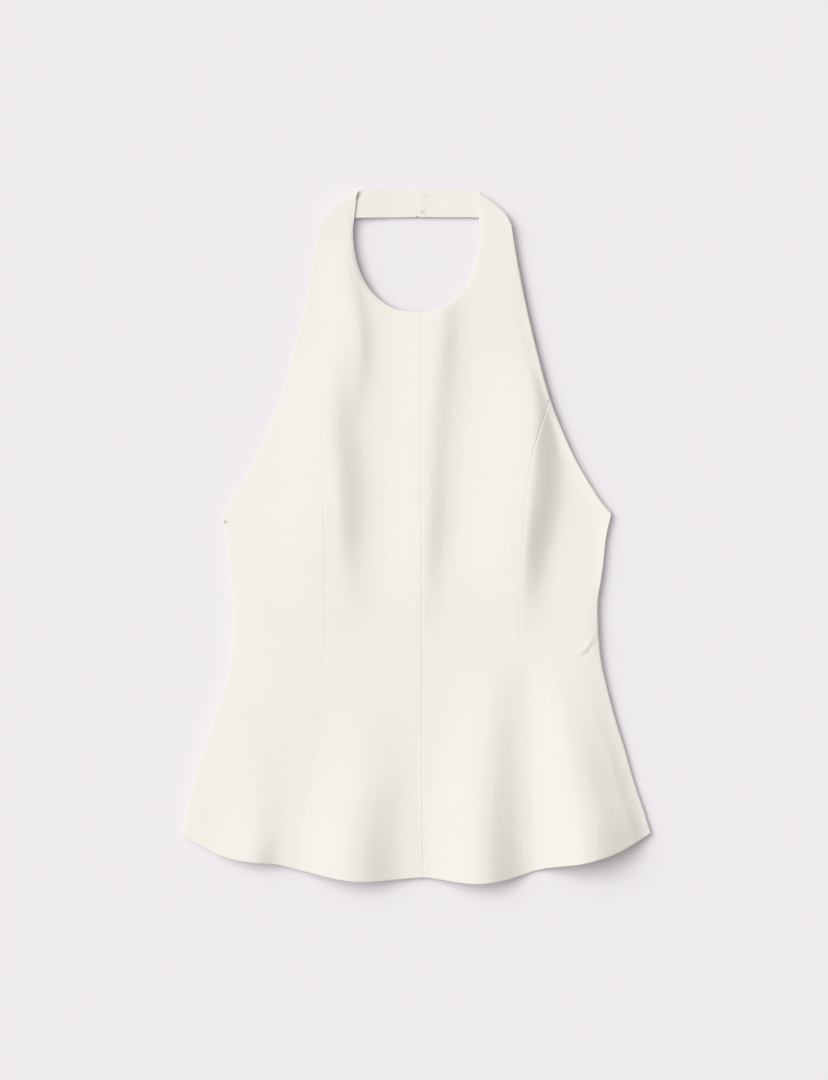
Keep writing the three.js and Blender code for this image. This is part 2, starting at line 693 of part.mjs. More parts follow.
const wireBase = STRAP_FACE - 2 * TURN_RADIUS + CLOTH + SEAM_GAP + WIRE / 2;
add("nape_hook", hookWire(), metal(), [HOOK_SPOT.x, HOOK_SPOT.y, wireBase], Math.PI);
add("nape_eye", eyeWire(), metal(), [HOOK_SPOT.x - EYE_REACH, HOOK_SPOT.y, wireBase]);
add("side_zip_slider", zipSlider(), metal(), [SLIDER.x, SLIDER.y, SLIDER.z]);

export default group;
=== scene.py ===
# A halter neck top of ivory crepe, laid flat with its front up and seen from straight above.
# Lengths are millimetres and become metres when a mesh is made. +X points to the wearer's
# left, which is on the right of the picture, +Y from the hem to the neck, and +Z up.
import math
import bpy
import numpy as np
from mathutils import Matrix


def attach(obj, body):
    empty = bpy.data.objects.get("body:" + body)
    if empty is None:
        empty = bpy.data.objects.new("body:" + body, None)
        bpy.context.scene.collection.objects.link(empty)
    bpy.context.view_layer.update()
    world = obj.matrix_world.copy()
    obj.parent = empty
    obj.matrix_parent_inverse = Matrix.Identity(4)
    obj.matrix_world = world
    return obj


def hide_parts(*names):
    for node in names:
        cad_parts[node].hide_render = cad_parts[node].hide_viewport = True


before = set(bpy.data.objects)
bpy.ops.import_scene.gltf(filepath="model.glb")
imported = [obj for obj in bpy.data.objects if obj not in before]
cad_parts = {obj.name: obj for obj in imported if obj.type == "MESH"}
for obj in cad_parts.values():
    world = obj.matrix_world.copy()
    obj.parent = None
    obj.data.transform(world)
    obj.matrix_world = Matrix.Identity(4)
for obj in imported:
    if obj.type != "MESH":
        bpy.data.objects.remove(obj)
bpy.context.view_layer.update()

# Sizes of the cloth
CLOTH = 1.3  # thickness of the shown cloth
SEAM_INSET = 0.05  # each panel's share of the way between two panels
SIDE_SEAM_HEIGHT = 4.2  # height of the side seams over the surface
BACK_TURN = 5  # width over which the back turns up to its side seams
BACK_DIP = 10  # how far the back's top edge dips between the underarms
NECK_TURN = 5  # width over which the cloth rounds off to the neckline
NECK_DROP = 1.2  # how far it falls there
STRAP_FACE = 9.2  # height of the strap's face where it turns over at the neck
TURN_RADIUS = 3.2  # outer radius of that turn
TURN_LENGTH = math.pi * (TURN_RADIUS - CLOTH / 2)  # cloth that the turn takes up
TURN_CALM = 30  # length over which the strap flattens out before the turn
BAND_SEAM = 3  # how far behind the turn the band is sewn on
BAND_GAP = 0.3  # clear way between the strap's end and the band
BAND_FACE = 4.4  # height of the band's upper face
SWELL_X = 60  # where the band swells up beside a strap, from the middle
SWELL_WIDTH = 36  # how wide the swell is on each side
HEM_LEVEL = -350  # about where the front's seams reach the hem
SEAM_ROLL = 1.4  # width over which a panel rolls down into a seam
CENTRE_DEPTH = 0.5  # how deep it rolls into the centre seam
RAMP_POWER = 1.75  # how fast the cloth comes up from its open and side edges to its lie
RIM_TURN = 2  # width over which it rounds off to those edges
UNDERARM_LOW, UNDERARM_HIGH = 30, 60  # heights between which that turn goes from steep to soft
BACK_RIM_GAP = 0.1  # how far the back's rim stays under the height of the side seams
FLOOR_REACH = 4000  # how far the floor reaches each way
FLOOR_DROP = 0.1  # how far it lies under the cloth

# Steps of the cloth's grids, and how much closer together they are at the hem and at the edges
DENSITY = 1
LEAST_STEPS = 4
RIM_STEPS = 4  # round a cloth edge
TURN_STEPS = 20  # round the turn of a strap
CENTRE_ROWS = (190, 36, 80)  # up to the princess seam's top, to the neckline and to the turn
CENTRE_COLUMNS = 84
CENTRE_HEM_BUNCH, CENTRE_EDGE_BUNCH = 1.2, 0.75
SIDE_ROWS, SIDE_COLUMNS = 200, 84
SIDE_HEM_BUNCH, SIDE_EDGE_BUNCH = 0.8, 0.8
BACK_ROWS, BACK_COLUMNS = 110, 150
BACK_EDGE_BUNCH = 0.9
BAND_ROWS, BAND_COLUMNS = 90, 40
BAND_END_BUNCH, BAND_EDGE_BUNCH = 0.6, 0.8
ROW_FALL = 40  # how far the row at the neckline's lowest point falls towards the armhole
ROUND_SHARE = 0.78  # share of a neckline's steps on its round part

# Colours of the crepe, the hook and eye, the zip's slider and the surface, and light strengths
IVORY = (0.868, 0.832, 0.772)
PALE_ENAMEL = (0.86, 0.84, 0.80)
SLIDER_GREY = (0.56, 0.55, 0.53)
FLOOR_PAPER = (0.842, 0.812, 0.838)
WORLD_STRENGTH = 0.27
SUNS = {  # degrees round from +X, degrees up, strength and width in degrees
    "key": (152, 36, 2.15, 60),
    "fill": (152, 62, 1.7, 90),
    "low": (152, 18, 0.6, 50),
}

# Where the picture's middle is on the surface, its height there, and the camera's height
PICTURE_MIDDLE = (-5.25, -3.7)
PICTURE_HEIGHT = 1134
CAMERA_HEIGHT = 5000


def table(columns, rows):
    """A table as arrays, by the names of its columns."""
    return dict(zip(columns.split(), np.array(rows, float).T))


def mix(start, end, share):
    return start + (end - start) * share


def smoothstep(value, low, high):
    share = np.clip((value - low) / (high - low), 0, 1)
    return share * share * (3 - 2 * share)


def line_through(known, source, target):
    """A smooth line through a table: the value of column target for one of column source."""
    at, values = known[source], known[target]
    before = np.maximum(np.arange(len(at)) - 1, 0)
    after = np.minimum(np.arange(len(at)) + 1, len(at) - 1)
    slopes = (values[after] - values[before]) / (at[after] - at[before])

    def line(place):
        place = np.asarray(place, float)
        i = np.clip(np.searchsorted(at, place, side="right") - 1, 0, len(at) - 2)
        length = at[i + 1] - at[i]
        t = np.clip((place - at[i]) / length, 0, 1)
        ends = mix(values[i], values[i + 1], t * t * (3 - 2 * t))
        curve = (1 - t) * slopes[i] - t * slopes[i + 1]
        return ends + t * (1 - t) * length * curve

    return line


# Side seams from the hem up to the underarms
SIDE_SEAMS = table("y right left", [
    (-330, -250, 249.4), (-308, -246.4, 242.2), (-287, -243, 235.6), (-256, -236, 225.2),
    (-224, -226.2, 216.4), (-193, -216.5, 206.9), (-161, -205, 198.4), (-130, -197.3, 191.7),
    (-98, -194.8, 188.7), (-67, -195.2, 188.4), (-46, -197, 191.7), (-25, -199.6, 194.2),
    (-4, -202.4, 196.3), (8, -204.6, 198.5), (17, -208, 200.6), (28, -210, 202.8), (60, -212, 207.2),
])

# Armhole edges from below the underarms up to the turn at the neck
ARMHOLES = table("y right left", [
    (-10, -223, 233.8), (18.4, -208.6, 207.3), (33, -200.8, 194.2), (48.8, -191.6, 182.6),
    (69.8, -178.4, 169.2), (90.8, -168, 158.4), (111.8, -159.2, 149.4), (132.8, -150.4, 141.3),
    (153.8, -142.8, 134.6), (185.3, -134.6, 126), (216.8, -125.8, 118.3), (248.3, -118.6, 111.2),
    (269.3, -114.6, 107), (290.3, -110.4, 102.9), (311.3, -106, 98.9), (340, -99, 94),
])

# Princess seams from the hem up to where they meet the armhole edges, and how deep the panels
# roll into them
PRINCESS_SEAMS = table("y right left depth_right depth_left", [
    (-350, -130.4, 135.6, 0.14, 0.24), (-313, -123, 130.2, 0.14, 0.24),
    (-200, -104.5, 112.9, 0.16, 0.2), (-140, -99.7, 107.8, 0.24, 0.2),
    (-100, -98.6, 106, 0.34, 0.24), (-50, -98.2, 106.6, 0.45, 0.26), (2, -98.8, 109.2, 0.55, 0.3),
    (49, -103, 113, 0.5, 0.34), (86, -117.5, 118.9, 0.3, 0.5), (114, -132, 127.3, 0.2, 0.6),
    (144, -146.4, 137.5, 0.2, 0.5),
])

CENTRE_SEAM = table("y x", [(-360, 4.2), (-60, 3), (240, 2.1)])

# Hem of the front, scalloped by its flutes
HEM_LINE = table("x y", [
    (-257, -306), (-247.4, -313.2), (-230, -322.8), (-209, -333.2), (-188, -338.7),
    (-167, -341.5), (-146, -343.9), (-125, -348.9), (-104, -354), (-83, -358.2), (-62, -360.8),
    (-41, -360.6), (-20, -358.9), (5, -357.1), (22, -358.8), (43, -361.6), (64, -362.8),
    (85, -360.7), (106, -355.6), (127, -348.7), (148, -344.7), (169, -341.7), (190, -336.8),
    (211, -329.2), (232, -317.7), (242, -311.4), (252, -304.4),
])

# Corners: where each side seam ends at the hem, the underarm and the top of the back
CORNERS = {
    "right": {"hem": -313.4, "underarm": 18.4, "back_top": 9, "princess": 144},
    "left": {"hem": -311.8, "underarm": 25.4, "back_top": 19, "princess": 144},
}

# Neckline: a rounded U, its centre, half width and depth, and how square its corners are
NECK_X, NECK_Y, NECK_HALF_WIDTH, NECK_DEPTH, NECK_POWER = -3.15, 324, 66.4, 89.3, 2.2

# Where the straps turn over: the bend line, from the armhole edge to the neck edge, and how
# far the turn bulges beyond it, with a power for how fast that begins from each end
TURNS = {
    "right": {"outer": (-102.3, 328), "inner": (-66, 356.4), "bulge": 20.8, "powers": (1, 1)},
    "left": {"outer": (94.9, 329.1), "inner": (63.6, 356.4), "bulge": 12, "powers": (1, 1.5)},
}

# Ends of the neck band at the nape: where each is, the radius of its corners, how far the
# cloth lifts there and over which reach, and how far it swells up beside the strap
NAPE = {
    "right": {
        "x": -1.8, "low": 335.6, "high": 363.3, "low_corner": 2, "high_corner": 6,
        "lift": 0, "reach": 20, "swell": 2.2,
    },
    "left": {
        "x": -0.9, "low": 335.6, "high": 363.3, "low_corner": 2, "high_corner": 3,
        "lift": 0.8, "reach": 14, "swell": 0,
    },
}

# The lie of the front between its folds and, for each side, the height of its rim, the height
# just inside that rim and how wide the cloth takes to come up from there to its lie
SECTIONS = table("y lie rim_right edge_right ramp_right rim_left edge_left ramp_left", [
    (-370, 9, 4.5, 6.2, 70, 4.5, 5, 20),
    (-300, 9, 4.5, 6.2, 70, 4.5, 5, 20),
    (-265, 9.2, 4.5, 6, 70, 4.5, 5, 20),
    (-230, 9.4, 4.5, 6, 70, 4.5, 5.6, 20),
    (-165, 10.2, 4.5, 6, 70, 4.5, 7, 24),
    (-100, 11.5, 4.4, 5.8, 80, 4.4, 8.5, 14),
    (-30, 13, 4.4, 6, 90, 4.4, 8.2, 10),
    (10, 13.5, 4.4, 6.4, 96, 4.4, 8, 10),
    (34, 13.5, 6, 7, 96, 5.5, 8, 10),
    (60, 13.5, 7.6, 8.2, 90, 7, 8, 11),
    (140, 12.8, 8.8, 9.2, 60, 7.4, 8.4, 14),
    (235, 11.4, 8.6, 9, 40, 7.4, 8.4, 16),
    (300, 10.2, 8.3, 8.7, 30, 7.6, 8.4, 16),
    (365, 9.2, 8.2, 8.6, 30, 7.6, 8.4, 16),
])

# Folds of the front. Each is a ridge that runs up the cloth: where its crest is at a height,
# how far it rises from the wearer's right and sinks below that on the left, how wide it is on
# each side, and whether its fall is even (0) or comes early (1)
FOLD_COLUMNS = "y x rise sink right left early"
FOLDS = {
    "right bust": table(FOLD_COLUMNS, [
        (-100, -78, 0, 0, 70, 42, 1), (-60, -79, 3, 0.8, 78, 44, 1), (-12, -86, 6.5, 2.8, 86, 48, 1),
        (47, -88, 8, 3.4, 90, 51, 1), (105, -94, 8, 3.6, 86, 58, 1), (150, -96, 6, 3, 66, 58, 1),
        (185, -96, 3, 1.6, 50, 54, 1), (215, -97, 0.8, 0.4, 44, 50, 1), (240, -98, 0, 0, 40, 46, 1),
    ]),
    "right neck": table(FOLD_COLUMNS, [
        (120, -68, 0, 0, 34, 30, 1), (150, -66, 1.4, 0.4, 38, 28, 1), (185, -64, 3.4, 1, 42, 29, 1),
        (227, -67, 4.6, 1.2, 42, 29, 1), (259, -73, 4.2, 1, 38, 28, 1), (285, -77, 2.8, 0.6, 30, 28, 1),
        (312, -80, 0, 0, 26, 24, 1),
    ]),
    "centre": table(FOLD_COLUMNS, [
        (-110, 2, 0, 0, 40, 34, 1), (-70, 3, 2.8, 0.8, 42, 34, 1), (-10, 5, 5.2, 1.6, 44, 38, 1),
        (47, 8, 5.4, 1.8, 44, 40, 1), (105, 10, 5.4, 1.8, 44, 42, 1), (165, 15, 5, 1.8, 48, 42, 1),
        (225, 22, 4.6, 1.8, 52, 36, 1), (260, 24, 2.6, 1, 52, 34, 1),
    ]),
    "left bust": table(FOLD_COLUMNS, [
        (-100, 106, 0, 0, 66, 40, 1), (-68, 106, 4, 1.6, 66, 44, 1), (-12, 109, 9.5, 4, 70, 46, 1),
        (47, 115, 11, 5, 74, 52, 1), (105, 119, 10.5, 4.6, 72, 46, 1), (150, 117, 7, 2.6, 66, 42, 1),
        (190, 107, 3, 1, 56, 38, 1), (250, 99, 1, 0.5, 50, 30, 1), (290, 96, 0, 0, 50, 30, 1),
    ]),
    "right side flute": table(FOLD_COLUMNS, [
        (-400, -180, 11, 1, 52, 38, 0), (-335, -178, 9, 1, 52, 38, 0),
        (-306, -174, 4.4, 0.8, 52, 36, 0), (-277, -170, 2.4, 0.4, 50, 36, 0),
        (-240, -168, 1.2, 0.2, 48, 36, 0), (-200, -160, 0, 0, 44, 36, 0),
    ]),
    "right front flute": table(FOLD_COLUMNS, [
        (-400, -76, 16.6, 1.6, 56, 68, 0), (-335, -75, 16, 1.6, 56, 68, 0),
        (-300, -72, 13, 1.4, 54, 66, 0), (-270, -66, 9.4, 1.2, 54, 62, 0),
        (-240, -60, 5, 0.6, 52, 62, 0), (-190, -58, 1.8, 0.3, 48, 54, 0), (-140, -56, 0, 0, 44, 50, 0),
    ]),
    "left front flute": table(FOLD_COLUMNS, [
        (-400, 62, 17, 3, 56, 62, 0), (-335, 62, 16.6, 3, 56, 61, 0), (-280, 63, 14, 2.8, 56, 58, 0),
        (-220, 68, 7.2, 1.8, 52, 46, 0), (-160, 74, 2.8, 0.8, 48, 42, 0), (-110, 78, 0, 0, 44, 40, 0),
    ]),
    "left side flute": table(FOLD_COLUMNS, [
        (-400, 174, 28.5, 0, 58, 96, 0.6), (-310, 172, 28, 0, 54, 96, 0.6),
        (-260, 162, 20.5, 0, 46, 86, 0.6), (-210, 154, 12, 0, 38, 76, 0.6),
        (-160, 148, 5, 0, 36, 64, 0.6), (-110, 146, 0, 0, 36, 50, 0.6),
    ]),
}

# Short creases, each as the x and y of one end, the x and y of the other, its width and how
# far it rises or sinks
CREASES = [
    (190, -96, 168, -126, 5, 0.8),
    (189, -110, 166, -131, 4, -0.7),
    (178, -118, 158, -124, 5, 0.9),
    (96, 238, 118, 216, 5, -0.8),
]
NAPE_CREASES = {
    "right": [(-30, 349, -6, 341, 5, -0.3)],
    "left": [(5, 358, 27, 349.5, 3, -1.2), (61, 362, 67.2, 343, 1.6, -0.7)],
}

# Small unevenness of the pressed cloth: two slanted waves, each with its height, and a patchy
# one of two waves multiplied. A wave has its reach in x and in y and its start
SLANTED_WAVES = [(0.16, (11.3, 31, 0.8)), (0.14, (17.9, -23.7, 2.1))]
PATCHY_HEIGHT = 0.2
PATCHY_WAVES = [(29, 47, 4.4), (-53, 19, 1.2)]

lines = {}
for side in ("right", "left"):
    lines[side] = {
        "side_seam": line_through(SIDE_SEAMS, "y", side),
        "armhole": line_through(ARMHOLES, "y", side),
        "princess": line_through(PRINCESS_SEAMS, "y", side),
        "princess_depth": line_through(PRINCESS_SEAMS, "y", f"depth_{side}"),
    }
centre_line = line_through(CENTRE_SEAM, "y", "x")
hem_height = line_through(HEM_LINE, "x", "y")
section_line = {name: line_through(SECTIONS, "y", name) for name in SECTIONS if name != "y"}


def fold_lines(fold):
    return {name: line_through(fold, "y", name) for name in fold if name != "y"}


folds = [fold_lines(fold) for fold in FOLDS.values()]


def distance_to_edge(line, x, y):
    """Distance from points to an edge that runs up the garment, measured square to it."""
    slope = (line(y + 1) - line(y - 1)) / 2
    return np.abs(line(y) - x) / np.hypot(1, slope)


def distance_to_neckline(x, y):
    across = np.abs(x - NECK_X)
    down = np.maximum(0, NECK_Y - y)
    reach = (across / NECK_HALF_WIDTH) ** NECK_POWER + (down / NECK_DEPTH) ** NECK_POWER
    return np.hypot(across, down) * (1 - np.maximum(reach, 1e-6) ** (-1 / NECK_POWER))


def edge_turn(distance, width, steep):
    """Height of a cloth's turn down to its edge: 0 at the edge, 1 from width inwards."""
    inward = np.clip(distance / width, 0, 1)
    soft = 1 - (1 - inward) ** 2
    return mix(soft, np.sqrt(soft), steep)


def ramp(distance, width):
    """A long slope up from an edge: 0 at the edge, 1 from width inwards."""
    return 1 - (1 - np.clip(distance / width, 0, 1)) ** RAMP_POWER


def fold_height(fold, x, y):
    """A ridge that rises evenly from the wearer's right and drops, evenly or early, to the left."""
    offset = x - fold["x"](y)
    rising = np.clip(-offset / fold["right"](y), 0, 1)
    falling = np.clip(offset / fold["left"](y), 0, 1)
    rise, sink = fold["rise"](y), fold["sink"](y)
    climb = rise * 0.5 * (1 + np.cos(np.pi * rising))
    early_drop = 6 * falling ** 2 - 8 * falling ** 3 + 3 * falling ** 4
    even_drop = 0.5 * (1 - np.cos(np.pi * falling))
    drop = mix(even_drop, early_drop, fold["early"](y))
    return np.where(offset < 0, climb, rise - (rise + sink) * drop)


def crease_height(crease, x, y):
    x_from, y_from, x_to, y_to, width, rise = crease
    start = np.array([x_from, y_from])
    way = np.array([x_to, y_to]) - start
    length = np.hypot(*way)
    along = ((x - start[0]) * way[0] + (y - start[1]) * way[1]) / length ** 2
    aside = ((x - start[0]) * way[1] - (y - start[1]) * way[0]) / length
    across = np.clip(np.abs(aside) / width, 0, 1)
    taper = np.sin(np.pi * np.clip(along, 0, 1))
    return rise * taper * 0.5 * (1 + np.cos(np.pi * across))


def wave(x, y, shape):
    reach_x, reach_y, start = shape
    return np.sin(x / reach_x + y / reach_y + start)


def ripple(x, y):
    """The small unevenness of a pressed cloth."""
    slanted = sum(height * wave(x, y, shape) for height, shape in SLANTED_WAVES)
    return slanted + PATCHY_HEIGHT * wave(x, y, PATCHY_WAVES[0]) * wave(x, y, PATCHY_WAVES[1])


def strap_bend(side):
    """A strap's bend line, with the way out over it and the way the strap runs past it."""
    outer = np.array(TURNS[side]["outer"], float)
    inner = np.array(TURNS[side]["inner"], float)
    along = (inner - outer) / np.hypot(*(inner - outer))
    sign = 1 if side == "right" else -1
    out = np.array([-along[1], along[0]]) * sign
    to_nape = np.array([sign, 0.0])
    strap = along * 2 * (along @ to_nape) - to_nape
    return {"outer": outer, "inner": inner, "out": out, "strap": strap}


bends = {side: strap_bend(side) for side in ("right", "left")}


def past_turn(side, x, y):
    out, outer = bends[side]["out"], bends[side]["outer"]
    return (x - outer[0]) * out[0] + (y - outer[1]) * out[1]


def turn_bulge(side, shares):
    """How far the turn bulges out at shares of the way from its outer to its inner end."""
    outer_power, inner_power = TURNS[side]["powers"]
    size = TURNS[side]["bulge"] * shares ** outer_power * (1 - shares) ** inner_power
    return size[..., None] * bends[side]["out"]


def front_height(x, y, side):
    """Height of the front's outer face over the surface."""
    line = lines[side]
    to_side_seam = distance_to_edge(line["side_seam"], x, y)
    to_armhole = distance_to_edge(line["armhole"], x, y)
    to_armhole = np.where(y < ARMHOLES["y"][0], to_side_seam, to_armhole)
    to_rim = np.minimum(to_side_seam, to_armhole)
    rise = sum(fold_height(fold, x, y) for fold in folds)
    rise = rise + sum(crease_height(crease, x, y) for crease in CREASES)
    section = {name: line_of(y) for name, line_of in section_line.items()}
    lie = section["lie"] + rise + ripple(x, y)
    lie = mix(section[f"edge_{side}"], lie, ramp(to_rim, section[f"ramp_{side}"]))
    steep = 1 - smoothstep(y, UNDERARM_LOW, UNDERARM_HIGH)
    lie = mix(section[f"rim_{side}"], lie, edge_turn(to_rim, RIM_TURN, steep))
    neck_fall = NECK_DROP * (1 - edge_turn(distance_to_neckline(x, y), NECK_TURN, 0))
    loose = smoothstep(-past_turn(side, x, y), 0, TURN_CALM)
    to_centre = distance_to_edge(centre_line, x, y)
    to_princess = distance_to_edge(line["princess"], x, y)
    to_princess = np.where(y < CORNERS[side]["princess"], to_princess, SEAM_ROLL)
    groove = CENTRE_DEPTH * (1 - edge_turn(to_centre, SEAM_ROLL, 0))
    groove = groove + line["princess_depth"](y) * (1 - edge_turn(to_princess, SEAM_ROLL, 0))
    return mix(STRAP_FACE, lie - neck_fall, loose) - groove


def settle(flat, side):
    """Puts points of the unfolded front in place: flat, round the turn, or folded under."""
    x, y = flat[..., 0], flat[..., 1]
    out = bends[side]["out"]
    past = past_turn(side, x, y)
    angle = np.pi * np.clip(past / TURN_LENGTH, 0, 1)
    under = np.maximum(past - TURN_LENGTH, 0)
    shift = np.where(past > 0, TURN_RADIUS * np.sin(angle) - under - past, 0)
    turned = STRAP_FACE - TURN_RADIUS * (1 - np.cos(angle))
    height = np.where(past > 0, turned, front_height(x, y, side))
    return np.stack([x + out[0] * shift, y + out[1] * shift, height], -1)


def fill_edges(left, right, bottom, top, shares):
    """Fills four edges with a grid of points, its columns at shares of the width."""
    across = shares[:, None]
    low = bottom - mix(left[0], right[0], across)
    high = top - mix(left[-1], right[-1], across)
    up = np.linspace(0, 1, len(left))[:, None, None]
    grid = mix(left[:, None], right[:, None], across[None])
    return grid + low[None] * (1 - up) + high[None] * up


def edge_points(line, heights, shift=0):
    return np.stack([line(heights) + shift, heights], -1)


def hem_points(start, end, shares):
    x = mix(start[0], end[0], shares)
    row = np.stack([x, hem_height(x)], -1)
    row[0], row[-1] = start, end
    return row


def straight(start, end, shares):
    return mix(np.asarray(start)[None], np.asarray(end)[None], shares[:, None])


def heights_up(start, end, count, bunch=0):
    """Heights from start to end, closer together at the start where bunch is above 0."""
    t = np.linspace(0, 1, count + 1)
    return mix(start, end, t * (1 + bunch * t) / (1 + bunch))


def bunched(count, ends):
    """Shares from 0 to 1, closer together at both ends."""
    t = np.linspace(0, 1, count + 1)
    return t - ends * np.sin(2 * np.pi * t) / (2 * np.pi)


def neckline_points(side, count):
    """One side of the neckline, from the centre seam round and up to the turn."""
    sign = -1 if side == "right" else 1
    seam_x = centre_line(NECK_Y - NECK_DEPTH) + sign * SEAM_INSET
    first_angle = math.asin((NECK_X - seam_x) / NECK_HALF_WIDTH)
    t = np.linspace(0, 1, count + 1)
    angle = mix(-sign * first_angle, np.pi / 2, np.minimum(t / ROUND_SHARE, 1))
    across = np.abs(np.sin(angle)) ** (2 / NECK_POWER) * np.sign(angle)
    down = np.abs(np.cos(angle)) ** (2 / NECK_POWER)
    curve = np.stack(
        [NECK_X + sign * NECK_HALF_WIDTH * across, NECK_Y - NECK_DEPTH * down], -1
    )
    start = np.array([NECK_X + sign * NECK_HALF_WIDTH, NECK_Y])
    rest = straight(start, bends[side]["inner"], (t - ROUND_SHARE) / (1 - ROUND_SHARE))
    return np.where((t <= ROUND_SHARE)[:, None], curve, rest)


def grid_normals(grid):
    across = np.gradient(grid, axis=1)
    up = np.gradient(grid, axis=0)
    normals = np.cross(across, up)
    return normals / np.linalg.norm(normals, axis=-1, keepdims=True)


def cloth_mesh(name, outer):
    """A closed sheet of cloth under a grid of outer points, with rounded edges."""
    rows, columns = outer.shape[:2]
    inner = outer - grid_normals(outer) * CLOTH
    index = np.arange(rows * columns).reshape(rows, columns)
    ring = np.concatenate(
        [index[0, :-1], index[:-1, -1], index[-1, :0:-1], index[:0:-1, 0]]
    )
    top, low = outer.reshape(-1, 3), inner.reshape(-1, 3)
    middle = (top[ring] + low[ring]) / 2
    along = np.roll(top[ring], -1, 0) - np.roll(top[ring], 1, 0)
    half = (top[ring] - low[ring]) / 2
    outward = np.cross(along, half)
    outward *= np.linalg.norm(half, axis=1, keepdims=True) / np.maximum(
        np.linalg.norm(outward, axis=1, keepdims=True), 1e-9
    )
    corners = np.cumsum([0, columns - 1, rows - 1, columns - 1])
    outward[corners] *= math.sqrt(2)
    loops = [ring]
    points = [top, low]
    count = 2 * len(top)
    for step in range(1, RIM_STEPS):
        angle = math.pi * step / RIM_STEPS
        points.append(middle + half * math.cos(angle) + outward * math.sin(angle))
        loops.append(np.arange(count, count + len(ring)))
        count += len(ring)
    loops.append(ring + len(top))
    a, b = index[:-1, :-1].ravel(), index[:-1, 1:].ravel()
    c, d = index[1:, 1:].ravel(), index[1:, :-1].ravel()
    under = len(top)
    faces = [np.stack([a, b, c, d], 1), np.stack([d, c, b, a], 1) + under]
    for above, below in zip(loops, loops[1:]):
        faces.append(np.stack([np.roll(above, -1), above, below, np.roll(below, -1)], 1))
    mesh = bpy.data.meshes.new(name)
    mesh.from_pydata((np.concatenate(points) / 1000).tolist(), [],
                     np.concatenate(faces).tolist())
    mesh.shade_smooth()
    piece = bpy.data.objects.new(name, mesh)
    bpy.context.scene.collection.objects.link(piece)
    return piece


def steps(count):
    return max(LEAST_STEPS, round(count * DENSITY))


def centre_front(side):
    """Outer face of a centre front: hem, princess seam, armhole, neckline and turn."""
    sign = -1 if side == "right" else 1
    princess, armhole = lines[side]["princess"], lines[side]["armhole"]
    bend = bends[side]
    neck_low = NECK_Y - NECK_DEPTH
    foot = CORNERS[side]["princess"]
    low_rows, mid_rows, top_rows = (steps(rows) for rows in CENTRE_ROWS)
    outer_edge = np.concatenate([
        edge_points(princess, heights_up(hem_height(princess(HEM_LEVEL)), foot, low_rows,
                                         CENTRE_HEM_BUNCH),
                    -sign * SEAM_INSET),
        edge_points(armhole, heights_up(foot, neck_low - ROW_FALL, mid_rows))[1:],
        edge_points(armhole, heights_up(neck_low - ROW_FALL, bend["outer"][1], top_rows))[1:],
    ])
    outer_edge[-1] = bend["outer"]
    hem_at_centre = hem_height(centre_line(HEM_LEVEL))
    inner_edge = np.concatenate([
        edge_points(centre_line, heights_up(hem_at_centre, foot, low_rows, CENTRE_HEM_BUNCH),
                    sign * SEAM_INSET),
        edge_points(centre_line, heights_up(foot, neck_low, mid_rows), sign * SEAM_INSET)[1:],
        neckline_points(side, top_rows)[1:],
    ])
    left, right = (outer_edge, inner_edge) if side == "right" else (inner_edge, outer_edge)
    shares = bunched(steps(CENTRE_COLUMNS), CENTRE_EDGE_BUNCH)
    top = straight(left[-1], right[-1], shares)
    flat = fill_edges(left, right, hem_points(left[0], right[0], shares), top, shares)
    strap_step = 1 / (bend["strap"] @ bend["out"])
    past = np.concatenate([
        np.linspace(0, TURN_LENGTH, steps(TURN_STEPS) + 1)[1:], [TURN_LENGTH + BAND_SEAM],
    ])
    drift = past[:, None, None] * strap_step * bend["strap"]
    flat = np.concatenate([flat, top[None] + drift])
    placed = settle(flat, side)
    bulge = turn_bulge(side, shares if side == "right" else 1 - shares)
    past = past_turn(side, flat[..., 0], flat[..., 1])
    near_turn = smoothstep(past, -TURN_CALM, 0) * smoothstep(-past, -TURN_LENGTH, -TURN_LENGTH / 2)
    placed[..., :2] += bulge[None] * near_turn[..., None]
    return placed


def side_front(side):
    """Outer face of a side front: hem, side seam, armhole edge and princess seam."""
    sign = -1 if side == "right" else 1
    side_seam, princess = lines[side]["side_seam"], lines[side]["princess"]
    armhole = lines[side]["armhole"]
    corner = CORNERS[side]
    rows = steps(SIDE_ROWS)
    seam_edge = edge_points(
        side_seam, heights_up(corner["hem"], corner["underarm"], rows, SIDE_HEM_BUNCH)
    )
    seam_edge[-1] = (armhole(corner["underarm"]), corner["underarm"])
    princess_edge = edge_points(
        princess,
        heights_up(hem_height(princess(HEM_LEVEL)), corner["princess"], rows, SIDE_HEM_BUNCH),
        sign * SEAM_INSET,
    )
    left, right = (seam_edge, princess_edge) if side == "right" else (princess_edge, seam_edge)
    shares = bunched(steps(SIDE_COLUMNS), SIDE_EDGE_BUNCH)
    top = straight(left[-1], right[-1], shares)
    ends = top[[0, -1], 0] - armhole(top[[0, -1], 1])
    top[:, 0] = armhole(top[:, 1]) + mix(ends[0], ends[1], shares)
    flat = fill_edges(left, right, hem_points(left[0], right[0], shares), top, shares)
    x, y = flat[..., 0], flat[..., 1]
    return np.stack([x, y, front_height(x, y, side)], -1)


